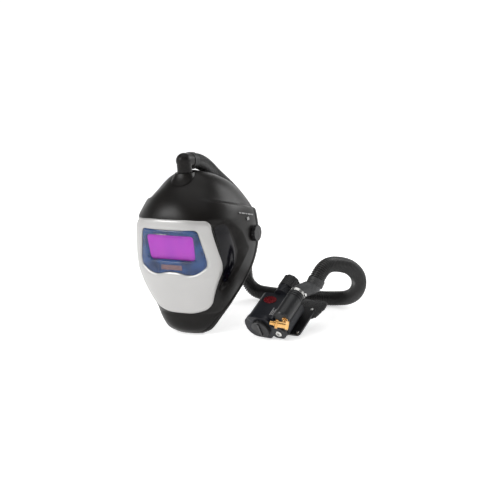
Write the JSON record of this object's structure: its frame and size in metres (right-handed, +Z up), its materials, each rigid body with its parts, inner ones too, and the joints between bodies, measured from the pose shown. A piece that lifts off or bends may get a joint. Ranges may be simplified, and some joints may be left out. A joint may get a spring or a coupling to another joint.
{
  "type": "powered air respirator",
  "caption": "Auto-darkening welding shield with tilting headgear, corrugated breathing tube and belt-worn air regulator with control knob, filter barrel and brass coupling.",
  "frame": {"origin": "middle of the footprint on the surface it stands on, without the breathing tube", "axes": "+Z up, the shield faces -Y, +X from the shield towards the belt unit"},
  "size_m": [0.4334, 0.3469, 0.371],
  "materials": {
    "shell_plastic": "satin moulded nylon",
    "silver_panel": "satin metallic paint over plastic",
    "blue_lens": "translucent blue",
    "clear_plate": "clear polycarbonate",
    "filter_coating": "purple interference coating",
    "inner_plastic": "fine grained",
    "circuit": "solder mask",
    "solar": "cell strip",
    "sensor": "dark lens",
    "cell_steel": "nickel plated",
    "side_glass": "very dark shade",
    "seal_fabric": "woven, elastic hem",
    "band_foam": "fleece over foam",
    "knob_plastic": "moulded grip",
    "cuff_plastic": "grained",
    "tube_rubber": "corrugated",
    "unit_plastic": "grained nylon",
    "barrel_plastic": "semi-gloss",
    "plate_metal": "black powder coat",
    "steel": "bright",
    "brass": "turned, bright",
    "charcoal": "packed granules",
    "membrane": "thin",
    "badge_red": "domed",
    "mark_grey": "printed",
    "belt_fabric": "nylon over foam"
  },
  "bodies": {
    "shield": {"air_duct": "shell_plastic", "arc_sensors": "sensor", "back_plate": "plate_metal", "barrel": "barrel_plastic", "battery_holders": "inner_plastic", "belt_pad": "belt_fabric", "belt_roll": "belt_fabric", "breathing_tube": "tube_rubber", "charcoal_cartridge": "charcoal", "circuit_board": "circuit", "coin_cells": "cell_steel", "coupling_body": "brass", "crown_cowl": "shell_plastic", "diaphragm": "membrane", "end_cap": "unit_plastic", "face_seal": "seal_fabric", "filter_glass": "filter_coating", "filter_housing": "inner_plastic", "hose_outlet": "cuff_plastic", "housing_cover": "inner_plastic", "inlet_elbow": "shell_plastic", "inner_protection_plate": "clear_plate", "lens_frame": "blue_lens", "marking_bars": "mark_grey", "outer_protection_plate": "clear_plate", "oval_badge": "badge_red", "regulator_spring": "steel", "relief_collar": "unit_plastic", "shield_shell": "shell_plastic", "side_window_left": "side_glass", "side_window_right": "side_glass", "silencer": "unit_plastic", "silver_front": "silver_panel", "solar_strip": "solar", "steel_clamp": "steel", "supply_nipple": "brass", "tube_cuff_bottom": "cuff_plastic", "tube_cuff_top": "cuff_plastic", "unit_housing": "unit_plastic", "unit_screws": "steel", "valve_seat": "brass"},
    "headgear": {"headband_front": "inner_plastic", "sweatband": "band_foam", "crown_straps": "inner_plastic", "tilt_brackets": "inner_plastic"},
    "rear_band": {"headband_rear": "inner_plastic", "nape_pad": "band_foam", "ratchet_housing": "inner_plastic"},
    "ratchet": {"ratchet_knob": "inner_plastic", "ratchet_pinion": "inner_plastic"},
    "pivot_left": {"pivot_knob_left": "knob_plastic", "pivot_bolt_left": "steel"},
    "pivot_right": {"pivot_knob_right": "knob_plastic", "pivot_bolt_right": "steel"},
    "shade_button": {"shade_button": "inner_plastic"},
    "sensitivity_button": {"sensitivity_button": "inner_plastic"},
    "delay_button": {"delay_button": "inner_plastic"},
    "control_knob": {"control_knob": "knob_plastic"},
    "relief_knob": {"relief_knob": "knob_plastic"},
    "coupling_sleeve": {"coupling_sleeve": "brass"}
  },
  "joints": [
    {"name": "headgear_tilt", "type": "hinge", "parent": "shield", "child": "headgear", "pos_m": [-0.0748, 0.02355, 0.195], "axis": [1, 0, 0], "range_deg": [0, 62]},
    {"name": "headband_size", "type": "slide", "parent": "headgear", "child": "rear_band", "axis": [0, 0.9397, -0.342], "range_m": [0, 0.01]},
    {"name": "ratchet_turn", "type": "hinge", "parent": "rear_band", "child": "ratchet", "pos_m": [-0.0748, 0.12152, 0.1608], "axis": [0, 0.9397, -0.342], "range_deg": [0, 90]},
    {"name": "pivot_left_turn", "type": "hinge", "parent": "shield", "child": "pivot_left", "pos_m": [0.0402, 0.02355, 0.195], "axis": [1, 0, 0], "range_deg": [-180, 180]},
    {"name": "pivot_right_turn", "type": "hinge", "parent": "shield", "child": "pivot_right", "pos_m": [-0.1898, 0.02355, 0.195], "axis": [1, 0, 0], "range_deg": [-180, 180]},
    {"name": "shade_button_press", "type": "slide", "parent": "shield", "child": "shade_button", "axis": [0, -0.9877, -0.1564], "range_m": [0, 0.001], "stiffness_N_per_m": 300, "springref_m": -0.001},
    {"name": "sensitivity_button_press", "type": "slide", "parent": "shield", "child": "sensitivity_button", "axis": [0, -0.9877, -0.1564], "range_m": [0, 0.001], "stiffness_N_per_m": 300, "springref_m": -0.001},
    {"name": "delay_button_press", "type": "slide", "parent": "shield", "child": "delay_button", "axis": [0, -0.9877, -0.1564], "range_m": [0, 0.001], "stiffness_N_per_m": 300, "springref_m": -0.001},
    {"name": "control_knob_turn", "type": "hinge", "parent": "shield", "child": "control_knob", "pos_m": [0.09284, -0.0733, 0.0256], "axis": [0.1229, 0.8744, 0.4695], "range_deg": [0, 270]},
    {"name": "relief_knob_turn", "type": "hinge", "parent": "shield", "child": "relief_knob", "pos_m": [0.11498, 0.00517, 0.08668], "axis": [0.1229, 0.8744, 0.4695], "range_deg": [-135, 135]},
    {"name": "sleeve_slide", "type": "slide", "parent": "shield", "child": "coupling_sleeve", "axis": [0.8802, 0.4112, -0.2372], "range_m": [0, 0.003], "stiffness_N_per_m": 400, "springref_m": -0.002}
  ],
  "couplings": [
    {"joint": "ratchet_turn", "follows": "headband_size", "rad_per_m": 139}
  ]
}
